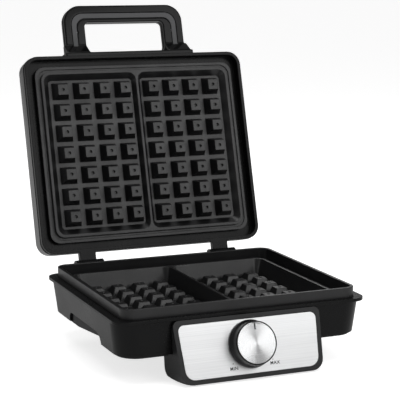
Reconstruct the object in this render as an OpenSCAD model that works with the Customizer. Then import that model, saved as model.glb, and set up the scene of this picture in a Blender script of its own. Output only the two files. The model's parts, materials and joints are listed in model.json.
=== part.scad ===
// Double waffle maker with a tilting lid, a loop handle and a thermostat knob.
// +X is the user's right, +Y is the back, +Z is up. Z = 0 is the table.
// Every sub-part is drawn around the hinge axis and then moved to its place,
// so that the origin lies on the table under the middle of the standing object.

/* [Cooking plates] */
// Distance between neighbouring pegs, side to side
peg_pitch_x = 24; // [20:0.5:29]
// Distance between neighbouring pegs, front to back
peg_pitch_y = 23.2; // [19:0.2:28]
// Extra space between the peg blocks of the two waffles
waffle_gap = 9.4; // [8:0.2:14]
// Pegs across one waffle
peg_cols = 4; // [3:1:5]
// Pegs along one waffle
peg_rows = 7; // [5:1:8]
// Width of a peg at its root
peg_root = 18.2; // [15:0.2:20]
// Width of a peg at its tip
peg_tip = 11.4; // [8:0.2:13.5]
// Height of a peg on the lid's plate
upper_peg_h = 12; // [9:0.5:13]
// Height of a peg on the base's plate
lower_peg_h = 9; // [6:0.5:11]
// Radius of the dimple in a peg's tip
dimple_r = 1.6; // [0.8:0.1:2.2]
// Space between the outer pegs and the foot of the cavity wall
floor_margin = 3.8; // [2:0.2:6]
// How far a cavity wall leans outwards
wall_run = 6; // [3:0.5:8]
// Width of the raised ridge around the cavities
ridge_w = 3; // [2:0.2:5]
// Width of the groove outside the ridge
groove_w = 2.6; // [1.5:0.2:4]
// Width of the lid plate's flat border
border_w = 3.2; // [2.4:0.2:6]
// Thickness of metal behind a cavity floor
plate_t = 3; // [2:0.5:5]

/* [Fits between lid and base] */
// Running gap between the lid plate and the base plate's rim wall
closing_gap = 3.4; // [2.2:0.2:5]
// Thickness of the base plate's rim wall
rim_wall_t = 3.4; // [2:0.2:5]
// Height of the rim wall above the base's deck
rim_wall_h = 10.4; // [6:0.2:12]
// Gap between the rim wall and the lid's lip
lip_gap = 0.9; // [0.6:0.1:2]
// Gap between the lid's lip and the base's deck when closed
deck_gap = 1.5; // [1:0.1:3]
// Width of the lid's lip
lid_lip_w = 3.6; // [3:0.2:7]

/* [Base] */
// How far the base's deck stands out past the lid at each side
deck_over_x = 4.2; // [0:0.2:6]
// How far the base's deck stands out past the lid at front and back
deck_over_y = 0.9; // [0:0.1:4]
// Height of the deck above the table
deck_z = 62.6; // [58:0.2:72]
// Thickness of the deck's edge
deck_edge_t = 3; // [2:0.2:5]
// Height of the housing's lower edge above the table
skirt_z = 27; // [24:0.5:30]
// Thickness of the housing's walls
housing_t = 2.6; // [2:0.2:4]
// Corner radius of the housing
housing_r = 22; // [18:1:34]
// Length of the arch in each side of the housing
arch_len = 94; // [60:1:110]
// Height of the arch
arch_h = 11; // [6:0.5:14]
// How far the housing's side walls draw in from the deck to their lower edge
side_taper = 4.4; // [0.5:0.1:6]
// Radius of a rubber foot
foot_r = 8; // [6:0.5:10]

/* [Control box] */
// Half the width of the control box at its top
box_top_hw = 77; // [64:0.5:84]
// Half the width of the control box at its bottom
box_bottom_hw = 73.5; // [60:0.5:80]
// Lean of the control panel from upright
panel_tilt = 18.6; // [8:0.2:22]
// Height of the box's underside above the table
box_z = 1.5; // [1:0.5:4]
// Thickness of the box's walls
box_t = 2.4; // [2:0.2:4]
// Width of the plastic frame around the steel panel
bezel_w = 4.4; // [3:0.2:8]
// Height of the knob's axis above the table, at the panel
knob_z = 32.2; // [28:0.2:36]
// Radius of the knob's aluminium face
knob_face_r = 19.6; // [14:0.2:21]
// How far the knob stands out from the panel
knob_h = 14; // [10:0.5:20]
// Radius of the thermostat's shaft
shaft_r = 3; // [2.5:0.1:4]

/* [Lid] */
// Height of the lid's lip ring
lid_ring_h = 6; // [4:0.5:8]
// Height of the whole lid above its lip
lid_h = 33.4; // [30:0.2:44]
// Thickness of the lid's outer cover
cover_t = 2.2; // [1.6:0.2:3.4]
// Angle from closed to fully open
open_angle = 106.5; // [92:0.5:112]
// Distance from the back of the lid to the hinge axis
hinge_back = 15.9; // [14:0.1:22]
// Depth of the hinge axis below the lid's lip
hinge_drop = 0.85; // [0.4:0.05:2]
// Radius of a hinge pin
pin_r = 2.5; // [1.8:0.1:3.2]
// Radius of a hinge knuckle
knuckle_r = 7.5; // [6:0.1:8]
// Distance of each hinge from the middle
hinge_x = 78; // [60:1:88]

/* [Handle] */
// Half the width of the handle's loop
handle_hw = 70.7; // [56:0.5:84]
// How far the handle stands out from the lid
handle_reach = 61.4; // [50:0.5:76]
// Width of the handle's grip bar
grip_w = 19.2; // [16:0.2:26]
// Width of each leg of the handle
leg_w = 23.4; // [16:0.5:28]
// Thickness of the loop
handle_t = 12; // [9:0.5:14]
// Outer corner radius of the loop
handle_r = 19; // [12:1:24]
// Width of the grey strip set into the handle
strip_w = 5.4; // [4:0.2:8]

/* [Hidden] */
$fn = 48;

fit_gap = 0.3;        // clearance between moulded pieces that touch
bore_gap = 0.05;      // radial clearance of a running fit
eps = 0.01;

// --- plan of the plates, half sizes from the middle outwards
end_trim = 0.8;       // how much closer the end rows of pegs stand to their wall
floor_hx = waffle_gap / 2 + (peg_cols - 0.5) * peg_pitch_x + peg_root / 2 + floor_margin;
floor_hy = (peg_rows - 1) / 2 * peg_pitch_y + peg_root / 2 + floor_margin - end_trim;
rim_hx = floor_hx + wall_run;
rim_hy = floor_hy + wall_run;
ridge_hx = rim_hx + ridge_w;
ridge_hy = rim_hy + ridge_w;
border_hx = ridge_hx + groove_w + border_w;
border_hy = ridge_hy + groove_w + border_w;
wall_in_hx = border_hx + closing_gap;
wall_in_hy = border_hy + closing_gap;
wall_hx = wall_in_hx + rim_wall_t;
wall_hy = wall_in_hy + rim_wall_t;
lip_in_hx = wall_hx + lip_gap;
lip_in_hy = wall_hy + lip_gap;
lid_hx = lip_in_hx + lid_lip_w;
lid_hy = lip_in_hy + lid_lip_w;
cover_gap = 0.45;     // room between the lid's cover and its frame's inner wall
cover_hx = lip_in_hx + 1.4 + cover_gap + cover_t;
cover_hy = lip_in_hy + 1.4 + cover_gap + cover_t;
deck_hx = lid_hx + deck_over_x;
deck_hy = lid_hy + deck_over_y;
house_hx = deck_hx - 1.6;
house_hy = deck_hy - 2.2;
end_taper = 1.2;      // how far the housing's front and back walls draw in
floor_r = 4;
plate_corner_r = 12;
lid_corner_r = 15;
deck_corner_r = 14;
divider_hw = 1.3;     // half the width of the ridge between the two waffles
divider_foot = waffle_gap / 2 + peg_pitch_x / 2 - peg_root / 2 - 2.6;

// --- heights above the table
lid_z = deck_z + deck_gap;              // the lid's lip when closed
hinge_z = lid_z - hinge_drop;
yc = -(lid_hy + hinge_back);            // middle of the lid and base, from the hinge
upper_floor_z = lid_z + 6.5;
upper_ridge_z = lid_z + 1;
upper_border_z = lid_z + 3.5;
upper_back_z = upper_floor_z + plate_t;
lower_ridge_z = upper_ridge_z - 0.5;
lower_groove_z = deck_z - 2;
lower_floor_z = upper_floor_z - 26.6;
lower_back_z = lower_floor_z - plate_t;
rim_top_z = deck_z + rim_wall_h;
flange_z = lower_groove_z - 3;
post_top_z = flange_z - 2;
cover_floor_z = skirt_z + 2;            // inner face of the bottom cover
cover_under_z = skirt_z - 2;
shield_t = 0.8;
tube_r = 3.25;
clamp_t = 1.2;
clamp_low = 2 * tube_r + 0.2 + clamp_t + 1.2;   // from a plate's back to the clamp's screws
lower_shield_z = lower_back_z - clamp_low - 0.4 - shield_t;
ring_top_z = rim_top_z + 1.6;           // underside of the lid frame's inner ring
ring_t = 2.5;
lid_top_z = lid_z + lid_h;

// --- heating elements
heater_hx = floor_hx - 27;
heater_hy = floor_hy - 24;
heater_bend = 20;
tail_x = 18;
lower_heater_z = lower_back_z - tube_r - 0.1;
upper_heater_z = upper_back_z + tube_r + 0.1;
upper_shield_z = upper_back_z + clamp_low + 0.4 + shield_t;
clamp_len = 30;

// --- housing fasteners
post_x = wall_in_hx - 5.6;
post_y = wall_in_hy - 5.6;
post_r = 5;
screw_r = 1.7;
screw_head_r = 3.3;
screw_head_h = 2;
cover_screw_x = 96;
leg_x = 55;
leg_y = -34;
leg_r = 11;
leg_low_r = 9.4;
front_foot_x = 50;

// --- hinge
knuckle_hw = 9;       // half the length of a lid knuckle
ear_t = 6;
ear_gap = 0.4;
hinge_hw = knuckle_hw + ear_gap + ear_t;
arm_top = knuckle_r;
stop_z = 4.5;         // height above the axis where the lid's arms rest when open
arm_y = (arm_top + cos(180 - open_angle) * stop_z) / sin(open_angle);

// --- control box: a panel frame that leans back from its lower edge
panel_y = -(deck_hy + 0.3) + yc + 0;                 // top edge of the panel's face
panel_top_z = deck_z - deck_edge_t - 0.2;
panel_foot_y = panel_y - (panel_top_z - box_z) * tan(panel_tilt);
knob_y = panel_y - (panel_top_z - knob_z) * tan(panel_tilt);
panel_up = (panel_top_z - knob_z) / cos(panel_tilt); // from the knob's axis to the top
panel_down = (knob_z - box_z) / cos(panel_tilt);     // and to the bottom
box_back_y = panel_foot_y + 43.8;
front_foot_y = (panel_foot_y + box_back_y) / 2 - 1;
house_front_y = yc - house_hy;
box_r = 9;
fascia_t = 0.6;
front_wall_t = 2.4;
boss_x = box_top_hw - 12;
boss_z = [38, 51];
knob_rim_r = knob_face_r + 1.3;
knob_foot_r = knob_rim_r + 2.3;
bracket_z = -9;       // thermostat bracket, measured along the knob's axis
thermo_half = 12;
thermo_len = 16;

// --- handle, measured from the lid's middle and from the lid's lip
handle_y0 = max(lid_hy + 0.3, cover_hy + 0.05);
handle_y1 = lid_hy + handle_reach;
grip_y = handle_y1 - grip_w;
handle_z1 = lid_top_z + 0.6;
handle_z0 = handle_z1 - handle_t;
base_bar = 5.6;       // thickness of the bar where the handle meets the lid
base_bar_hw = handle_hw + 5;
base_bar_z = handle_z0 - 11.6;
parting_z = handle_z0 + 5.2;
handle_screw_x = handle_hw - leg_w / 2;
strip_x = handle_hw - 11.1;
strip_y = handle_y1 - 11.9;
strip_low_y = handle_y0 + 13;
strip_deep = 1.4;
handle_head_r = 2.8;

// --- lamps
lamp_x = 12;
lamp_y = lid_hy - 26;
lamp_r = 3;

// --- where the hinge axis lies: the object is centred front to back as it stands open
knob_front = knob_y - knob_h * cos(panel_tilt) - knob_rim_r * sin(panel_tilt);
function open_y(y, z) = y * cos(open_angle) + (z - hinge_z) * sin(open_angle);
handle_rear = open_y(yc - handle_y1, handle_z1);
hinge_y = -(knob_front + handle_rear) / 2;

// ------------------------------------------------------------------ helpers

// Corner points of a rectangle with rounded corners
function rounded(hx, hy, r, n = 8) = [
    for (c = [[1, 1, 0], [-1, 1, 90], [-1, -1, 180], [1, -1, 270]])
        for (k = [0:n])
            [c[0] * (hx - r) + r * cos(c[2] + 90 * k / n),
             c[1] * (hy - r) + r * sin(c[2] + 90 * k / n)]
];

// Corner points of an upright trapezoid with rounded corners
function trapezoid(top, bottom, up, down, r_top, r_bottom, n = 6) =
    let (s = atan((top - bottom) / (up + down)),
         cb = bottom + r_bottom * tan(s) - r_bottom / cos(s),
         ct = top - r_top * tan(s) - r_top / cos(s))
    concat(
        [for (k = [0:n]) let (a = 270 + (90 - s) * k / n)
            [cb + r_bottom * cos(a), -down + r_bottom + r_bottom * sin(a)]],
        [for (k = [0:n]) let (a = -s + (90 + s) * k / n)
            [ct + r_top * cos(a), up - r_top + r_top * sin(a)]],
        [for (k = [0:n]) let (a = 90 + (90 + s) * k / n)
            [-ct + r_top * cos(a), up - r_top + r_top * sin(a)]],
        [for (k = [0:n]) let (a = 180 + s + (90 - s) * k / n)
            [-cb + r_bottom * cos(a), -down + r_bottom + r_bottom * sin(a)]]
    );

module slab(hx, hy, r, z0, z1)
    translate([0, yc, z0]) linear_extrude(z1 - z0) polygon(rounded(hx, hy, r));

module ring(hx, hy, r, t, z0, z1) difference() {
    slab(hx, hy, r, z0, z1);
    slab(hx - t, hy - t, max(r - t, 1), z0 - 1, z1 + 1);
}

module tapered(hx0, hy0, r0, z0, hx1, hy1, r1, z1) hull() {
    slab(hx0, hy0, r0, z0, z0 + eps);
    slab(hx1, hy1, r1, z1 - eps, z1);
}

module rod(p, q, r) {
    d = q - p;
    len = norm(d);
    translate(p) rotate([0, acos(d[2] / len), atan2(d[1], d[0])]) cylinder(h = len, r = r);
}

// A bent wire; each length runs a little past its corners so that they join
module lead(points, r) for (i = [0:len(points) - 2]) {
    d = (points[i + 1] - points[i]) / norm(points[i + 1] - points[i]);
    rod(points[i] - (i > 0 ? 0.6 : 0) * r * d,
        points[i + 1] + (i < len(points) - 2 ? 0.6 : 0) * r * d, r, $fn = 12);
}

// A screw with its head's underside at the origin and its shank going down
module screw(length, r = screw_r, head_r = screw_head_r, head_h = screw_head_h) {
    difference() {
        cylinder(h = head_h, r = head_r);
        for (a = [0, 90])
            translate([0, 0, head_h]) rotate([0, 0, a]) cube([3.4, 0.8, 2], center = true);
    }
    translate([0, 0, -length]) cylinder(h = length + eps, r = r);
}

module at_corners(x, y) for (i = [-1, 1], j = [-1, 1]) translate([i * x, yc + j * y, 0]) children();

// Moves a sub-part from the hinge axis to its place on the table
module placed() translate([0, hinge_y, 0]) children();

// Swings a sub-part of the lid, drawn closed, to the open position
module opened() placed() translate([0, 0, hinge_z]) rotate([-open_angle, 0, 0])
    translate([0, 0, -hinge_z]) children();

// The control panel's own frame: origin on the knob's axis, +Z out of the panel
module on_panel() placed() translate([0, knob_y, knob_z]) rotate([90 - panel_tilt, 0, 0]) children();

// ------------------------------------------------------------------ plates

// The pegs' profile across one direction
module peg_comb(centres, h, length) for (c = centres)
    translate([0, length / 2, 0]) rotate([90, 0, 0]) linear_extrude(length)
        polygon([[c - peg_root / 2, -0.5], [c - peg_root / 2, 0], [c - peg_tip / 2, h],
                 [c + peg_tip / 2, h], [c + peg_root / 2, 0], [c + peg_root / 2, -0.5]]);

peg_xs = [for (i = [0:peg_cols - 1], s = [-1, 1])
    s * (waffle_gap / 2 + (i + 0.5) * peg_pitch_x)];
peg_ys = [for (j = [0:peg_rows - 1]) (j - (peg_rows - 1) / 2) * peg_pitch_y];

// All the pegs of one plate, standing on z = 0
module pegs(h) difference() {
    intersection() {
        peg_comb(peg_xs, h, 2 * rim_hy);
        rotate([0, 0, 90]) peg_comb(peg_ys, h, 2 * rim_hx);
    }
    for (x = peg_xs, y = peg_ys) translate([x, y, h - 2.4]) cylinder(h = 3, r = dimple_r, $fn = 20);
}

// The space of both waffles in one plate, from its floor up to its rim
module cavities(depth) for (s = [0, 1]) mirror([s, 0, 0]) hull() {
    translate([(floor_hx + divider_foot) / 2, 0, 0]) linear_extrude(eps)
        polygon(rounded((floor_hx - divider_foot) / 2, floor_hy, floor_r, 4));
    translate([(rim_hx + divider_hw) / 2, 0, depth]) linear_extrude(1)
        polygon(rounded((rim_hx - divider_hw) / 2, rim_hy, floor_r + 4, 4));
}

module lower_plate() placed() color("#2b2b2d") {
    difference() {
        union() {
            slab(wall_hx, wall_hy, plate_corner_r, flange_z, lower_groove_z);
            ring(wall_hx, wall_hy, plate_corner_r, rim_wall_t, flange_z, rim_top_z);
            slab(ridge_hx, ridge_hy, plate_corner_r - 2, flange_z, lower_ridge_z);
            tapered(floor_hx + 3, floor_hy + 3, 6, lower_back_z,
                    rim_hx + 2, rim_hy + 2, 10, flange_z + 1);
            at_corners(post_x, post_y) translate([0, 0, post_top_z])
                cylinder(h = 3, r = post_r);
        }
        translate([0, yc, lower_floor_z]) cavities(lower_ridge_z - lower_floor_z);
        at_corners(post_x, post_y) translate([0, 0, post_top_z - 1]) cylinder(h = 4, r = screw_r);
    }
    translate([0, yc, lower_floor_z]) pegs(lower_peg_h);
}

module upper_plate() opened() color("#2b2b2d") {
    difference() {
        union() {
            slab(border_hx, border_hy, plate_corner_r - 1, upper_border_z, upper_back_z);
            slab(ridge_hx, ridge_hy, plate_corner_r - 2, upper_ridge_z, upper_back_z);
            at_corners(border_hx - 6, border_hy - 6) translate([0, 0, upper_back_z - 1])
                cylinder(h = ring_top_z - upper_back_z + 1, r = 4);
        }
        difference() {
            slab(ridge_hx + groove_w, ridge_hy + groove_w, plate_corner_r - 1,
                 upper_border_z - 1, upper_border_z + 1.2);
            slab(ridge_hx, ridge_hy, plate_corner_r - 2, upper_border_z - 2, upper_border_z + 2);
        }
        translate([0, yc, upper_floor_z]) mirror([0, 0, 1]) cavities(upper_floor_z - upper_ridge_z);
        at_corners(border_hx - 6, border_hy - 6) translate([0, 0, ring_top_z - 5])
            cylinder(h = 6, r = screw_r);
    }
    translate([0, yc, upper_floor_z]) mirror([0, 0, 1]) pegs(upper_peg_h);
}

module lower_plate_screws() placed() color("silver")
    at_corners(post_x, post_y) translate([0, 0, cover_floor_z + 1.5 + screw_head_h])
        mirror([0, 0, 1]) screw(post_top_z - cover_floor_z - 1.5 - screw_head_h + 2.5, screw_r - 0.1);

module upper_plate_screws() opened() color("silver")
    at_corners(border_hx - 6, border_hy - 6) translate([0, 0, ring_top_z + ring_t])
        screw(ring_t + 4.5, screw_r - 0.1);

// ------------------------------------------------------------------ heaters

// A quarter bend of heater tube: centre at the origin, from +X to +Y
module bend(r) rotate_extrude(angle = 90) translate([r, 0]) circle(tube_r);

module heater_tube() {
    straight_y = heater_hy - heater_bend;
    straight_x = heater_hx - heater_bend;
    for (s = [0, 1]) mirror([s, 0, 0]) {
        rod([heater_hx, -straight_y, 0], [heater_hx, straight_y, 0], tube_r);
        translate([straight_x, straight_y, 0]) bend(heater_bend);
        translate([straight_x, -straight_y, 0]) rotate([0, 0, -90]) bend(heater_bend);
        rod([-eps, -heater_hy, 0], [straight_x, -heater_hy, 0], tube_r);
        rod([tail_x + 8, heater_hy, 0], [straight_x, heater_hy, 0], tube_r);
        translate([tail_x + 8, heater_hy + 8, 0]) rotate([0, 0, 180]) bend(8);
        rod([tail_x, heater_hy + 8, 0], [tail_x, heater_hy + 14, 0], tube_r);
        rod([tail_x, heater_hy + 13, 0], [tail_x, heater_hy + 21, 0], 1.2);
    }
}

// Straps that hold a heater to its plate; they and their screws lie below z = 0
module clamps() for (p = [[heater_hx, 0], [-heater_hx, 0]]) translate([p[0], p[1], 0]) {
    difference() {
        translate([-clamp_len / 2, -5, -2 * tube_r - 0.2 - clamp_t]) cube([clamp_len, 10, clamp_t]);
        for (s = [-1, 1]) translate([s * 10, 0, -20]) cylinder(h = 30, r = screw_r);
    }
    for (s = [-1, 1]) {
        translate([s * 10, 0, -2 * tube_r - 0.2 - clamp_t]) mirror([0, 0, 1])
            screw(0.1, screw_r - 0.1, screw_head_r, 1.2);
        translate([s * 10, 0, -2 * tube_r - 0.2 - clamp_t - 0.1])
            cylinder(h = 2 * tube_r + 0.2 + clamp_t, r = screw_r - 0.1);
    }
}

module lower_heater() placed() color("dimgray")
    translate([0, yc, lower_heater_z]) heater_tube();
module upper_heater() opened() color("dimgray")
    translate([0, yc, upper_heater_z]) heater_tube();
module lower_heater_clamps() placed() color("lightsteelblue")
    translate([0, yc, lower_back_z]) clamps();
module upper_heater_clamps() opened() color("lightsteelblue")
    translate([0, yc, upper_back_z]) mirror([0, 0, 1]) clamps();

// A shallow pressed tray with its floor at z0 and its rim turned up by `up`
module shield(z0, up) difference() {
    slab(floor_hx - 4, floor_hy - 4, 10, z0, z0 + up);
    slab(floor_hx - 4 - shield_t, floor_hy - 4 - shield_t, 10 - shield_t, z0 + shield_t, z0 + up + 1);
    for (i = [-2:2]) translate([i * 24, yc, z0]) cube([8, 60, 4], center = true);
}

module lower_heat_shield() placed() color("gainsboro") shield(lower_shield_z, 3);
module upper_heat_shield() opened() color("gainsboro") translate([0, 0, 2 * upper_shield_z])
    mirror([0, 0, 1]) shield(upper_shield_z, 3);

module fuse_pair(z) translate([-9, yc + heater_hy - 14, z]) {
    rod([0, 0, 0], [14, 0, 0], 2.2);
    rod([-6, 0, 0], [0, 0, 0], 0.7);
    rod([14, 0, 0], [22, 0, 0], 0.7);
}
module lower_thermal_fuse() placed() color("khaki") fuse_pair(lower_back_z - 2.4);
module upper_thermal_fuse() opened() color("khaki") fuse_pair(upper_back_z + 2.4);

// ------------------------------------------------------------------ base

// The share of the taper that the housing's walls have reached at a height
function drawn(z) = (deck_z - deck_edge_t - z) / (deck_z - deck_edge_t - skirt_z);

// Outer form of the housing below its deck, drawn in by `t`
module house_form(t, z0, z1) tapered(
    house_hx - side_taper * drawn(z0) - t, house_hy - end_taper * drawn(z0) - t, housing_r - t, z0,
    house_hx - side_taper * drawn(z1) - t, house_hy - end_taper * drawn(z1) - t, housing_r - t, z1);

// Opening in both side walls that makes an arch above the table
module side_arches() {
    z_mid = skirt_z + arch_h;
    r = min(10, arch_h - 1);
    translate([-deck_hx - 10, yc - 2.2, 0]) rotate([90, 0, 90]) linear_extrude(2 * deck_hx + 20)
        polygon([
            [-arch_len / 2, skirt_z - 5],
            for (k = [0:6]) [-arch_len / 2 + r - r * cos(15 * k), z_mid - r + r * sin(15 * k)],
            for (k = [0:6]) [arch_len / 2 - r + r * sin(15 * k), z_mid - r + r * cos(15 * k)],
            [arch_len / 2, skirt_z - 5]]);
}

module hinge_ears() for (s = [-1, 1]) translate([s * hinge_x, 0, 0]) difference() {
    union() {
        translate([-hinge_hw, -knuckle_r - 12, hinge_z - 15])
            cube([2 * hinge_hw, knuckle_r + 12 + arm_y + 4, 6.3]);
        for (e = [-1, 1]) translate([e * (knuckle_hw + ear_gap + ear_t / 2), 0, 0]) {
            translate([-ear_t / 2, -knuckle_r - 12, hinge_z - 15])
                cube([ear_t, 2 * knuckle_r + 12, 15 - 0.7]);
            translate([-ear_t / 2, 0, hinge_z]) rotate([0, 90, 0]) cylinder(h = ear_t, r = knuckle_r);
        }
        translate([-knuckle_hw, arm_y + 0.25, hinge_z - 15])
            cube([2 * knuckle_hw, 3.6, 15 + stop_z]);
    }
    translate([-hinge_hw - 1, 0, hinge_z]) rotate([0, 90, 0])
        cylinder(h = 2 * hinge_hw + 2, r = pin_r + 0.02);
}

module base_housing() placed() color("#3a3b3d") difference() {
    union() {
        difference() {
            union() {
                house_form(0, skirt_z, deck_z - deck_edge_t + eps);
                slab(deck_hx, deck_hy, deck_corner_r, deck_z - deck_edge_t, deck_z);
            }
            house_form(housing_t, skirt_z - 1, flange_z - 0.4);
            slab(wall_hx + 0.6, wall_hy + 0.6, plate_corner_r + 0.6, flange_z - 1, deck_z + 1);
            side_arches();
        }
        intersection() {
            house_form(1, skirt_z, deck_z - 1);
            at_corners(post_x, post_y) union() {
                translate([0, 0, cover_floor_z + 1.5 + screw_head_h])
                    cylinder(h = post_top_z - cover_floor_z - 1.5 - screw_head_h, r = post_r);
                translate([-20, -1.5, 40]) cube([40, 3, post_top_z - 40]);
            }
        }
        intersection() {
            house_form(1, skirt_z, deck_z - 1);
            for (s = [-1, 1], y = [house_front_y + 9, yc + house_hy - 9])
                translate([s * cover_screw_x, y, cover_floor_z + 0.2]) {
                    cylinder(h = 16, r = 4);
                    translate([-1.5, y < yc ? -12 : 0, 0]) cube([3, 12, 16]);
                }
        }
        hinge_ears();
    }
    at_corners(post_x, post_y) translate([0, 0, cover_floor_z]) cylinder(h = 60, r = screw_r);
    slab(wall_in_hx - 9, wall_in_hy - 9, 9, lower_back_z - 4, deck_z + 1);
    for (s = [-1, 1], y = [house_front_y + 9, yc + house_hy - 9])
        translate([s * cover_screw_x, y, cover_floor_z - 1]) cylinder(h = 14, r = screw_r - 0.2);
    // window behind the control panel and the cord's hole at the back
    translate([-26, house_front_y - 5, skirt_z - 1]) cube([52, 12, 23]);
    for (x = [-boss_x, boss_x], z = boss_z)
        translate([x, house_front_y - 5, z]) rotate([-90, 0, 0]) cylinder(h = 12, r = screw_r);
    translate([gland_x, yc + house_hy - 8, gland_z]) rotate([-90, 0, 0]) cylinder(h = 16, r = gland_r);
}

// The outline of the housing's underside, with a scoop below each arch
scoop_front = yc - 2.2 - arch_len / 2 + 1.5;
scoop_back = scoop_front + arch_len - 3;
module scoops(grow) for (s = [-1, 1])
    linear_extrude(60) polygon([
        [s * 140, scoop_back + grow], [s * (house_hx - 5 - grow), scoop_back + grow],
        [s * (house_hx - 16 - grow), scoop_back - 62 + grow],
        [s * (house_hx - 16 - grow), scoop_front - grow], [s * 140, scoop_front - grow]]);

module bottom_cover() placed() color("#2a2b2c") difference() {
    union() {
        difference() {
            house_form(housing_t + fit_gap, cover_under_z, cover_floor_z);
            translate([0, 0, -10]) scoops(0);
            for (i = [-3:3]) translate([i * 16, yc, cover_under_z]) cube([6, 70, 12], center = true);
            slab(house_hx - 26, house_hy - 14, 18, cover_under_z + 2.2, cover_floor_z + 1);
        }
        intersection() {
            house_form(housing_t + fit_gap, cover_under_z, skirt_z + arch_h + 2.5);
            difference() {
                scoops(2.4);
                translate([0, 0, -1]) scoops(0);
            }
            translate([-150, scoop_front - 3, cover_under_z]) cube([300, arch_len + 6, 60]);
        }
        for (s = [-1, 1]) translate([s * leg_x, leg_y, box_z])
            cylinder(h = cover_floor_z - box_z, r1 = leg_low_r, r2 = leg_r);
        at_corners(floor_hx - 18, floor_hy - 16) translate([0, 0, cover_under_z + 1])
            cylinder(h = lower_shield_z - cover_under_z - 1, r = 3);
        translate([-26, block_y - 0.1, cover_under_z + 1]) cube([52, 15, cover_floor_z - cover_under_z - 1]);
        for (s = [-1, 1], y = [house_front_y + 9, yc + house_hy - 9])
            translate([s * cover_screw_x, y, cover_under_z]) cylinder(h = 4, r = 5);
    }
    for (s = [-1, 1]) {
        translate([s * leg_x, leg_y, 0]) cylinder(h = 3.05, r = foot_r + 0.1);
        for (y = [house_front_y + 9, yc + house_hy - 9]) translate([s * cover_screw_x, y, 0]) {
            cylinder(h = 60, r = screw_r + 0.1);
            cylinder(h = cover_under_z + screw_head_h, r = screw_head_r + 0.3);
        }
    }
    translate([-box_top_hw - 1, house_front_y - 8, 0])
        cube([2 * box_top_hw + 2, box_back_y - house_front_y + 9.5, 60]);
}

module bottom_cover_screws() placed() color("silver")
    for (s = [-1, 1], y = [house_front_y + 9, yc + house_hy - 9])
        translate([s * cover_screw_x, y, cover_under_z + screw_head_h]) mirror([0, 0, 1])
            screw(12, screw_r - 0.25);

module rubber_feet() placed() color("#202020") {
    for (s = [-1, 1]) {
        translate([s * leg_x, leg_y, 0]) cylinder(h = 3, r = foot_r);
        translate([s * front_foot_x, front_foot_y, 0]) cylinder(h = 3, r = foot_r);
    }
}

// The cord enters through a gland at the back
gland_x = 44;
gland_z = 41;
gland_r = 6;
gland_bore = 3.6;
module cord_gland() placed() color("#202020") translate([gland_x, yc + house_hy, gland_z])
    rotate([-90, 0, 0]) difference() {
        union() {
            translate([0, 0, -housing_t - 1.9]) cylinder(h = housing_t + 8.4, r = gland_r - 0.15);
            translate([0, 0, 0.3]) cylinder(h = 2.2, r = gland_r + 2.2);
            translate([0, 0, -housing_t - 3.6]) cylinder(h = 2, r = gland_r + 1.6);
        }
        translate([0, 0, -20]) cylinder(h = 40, r = gland_bore);
    }

block_y = -37;
module terminal_block() placed() color("ivory")
    translate([-24, block_y, cover_floor_z + 0.1]) difference() {
        cube([48, 13, 11]);
        for (i = [0:3]) translate([6 + 12 * i, 6.5, 6]) cylinder(h = 10, r = 2.2);
    }

module base_leads() placed() color("firebrick") {
    lead_z = cover_under_z + 3.5;
    tab_y = knob_y + (thermo_len + 14.5) * cos(panel_tilt) + 0.4;
    for (x = [-10, 10])
        lead([[x, block_y - 0.2, lead_z], [x, tab_y, lead_z], [x, tab_y, skirt_z - 1.1]], 1.1);
    lead([[gland_x, yc + house_hy - 16, gland_z], [gland_x, block_y + 6, gland_z],
          [gland_x, block_y + 6, cover_floor_z + 7], [24.3, block_y + 6, cover_floor_z + 7]], 1.6);
}

module hinge_pins() placed() color("silver") for (s = [-1, 1])
    translate([s * hinge_x, 0, hinge_z]) rotate([0, s * 90, 0]) {
        translate([0, 0, -hinge_hw - 2.4]) cylinder(h = 2 * hinge_hw + 2.5, r = pin_r);
        translate([0, 0, hinge_hw + 0.05]) cylinder(h = 1.4, r = pin_r + 1.6);
    }

module hinge_pin_clips() placed() color("gray") for (s = [-1, 1])
    translate([s * hinge_x, 0, hinge_z]) rotate([0, s * 90, 0]) translate([0, 0, -hinge_hw - 1.3])
        difference() {
            cylinder(h = 0.9, r = pin_r + 1.8);
            translate([0, 0, -1]) cylinder(h = 3, r = pin_r + 0.02);
            translate([0, -1.4, -1]) cube([10, 2.8, 3]);
        }

// ------------------------------------------------------------------ control box

// Side outline of the box, drawn in by t, in the hinge's frame
module box_side(t, hw) {
    round_r = 8;
    back = box_back_y - t;
    low = box_z + t;
    translate([-hw, 0, 0]) rotate([90, 0, 90]) linear_extrude(2 * hw) polygon([
        [panel_y, panel_top_z], [panel_foot_y - 5 * t, box_z - 15 * t],
        [panel_foot_y, low],
        for (k = [0:6]) [back - round_r + round_r * sin(15 * k), low + round_r - round_r * cos(15 * k)],
        [back, skirt_z - 0.2], [house_front_y - fit_gap, skirt_z - 0.2],
        [house_front_y - fit_gap, panel_top_z]]);
}

module panel_prism(inset, z0, z1) translate([0, 0, z0]) linear_extrude(z1 - z0)
    polygon(trapezoid(box_top_hw - inset, box_bottom_hw - inset, panel_up - inset,
                      panel_down - inset, 6, 12 - inset / 2));

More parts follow.
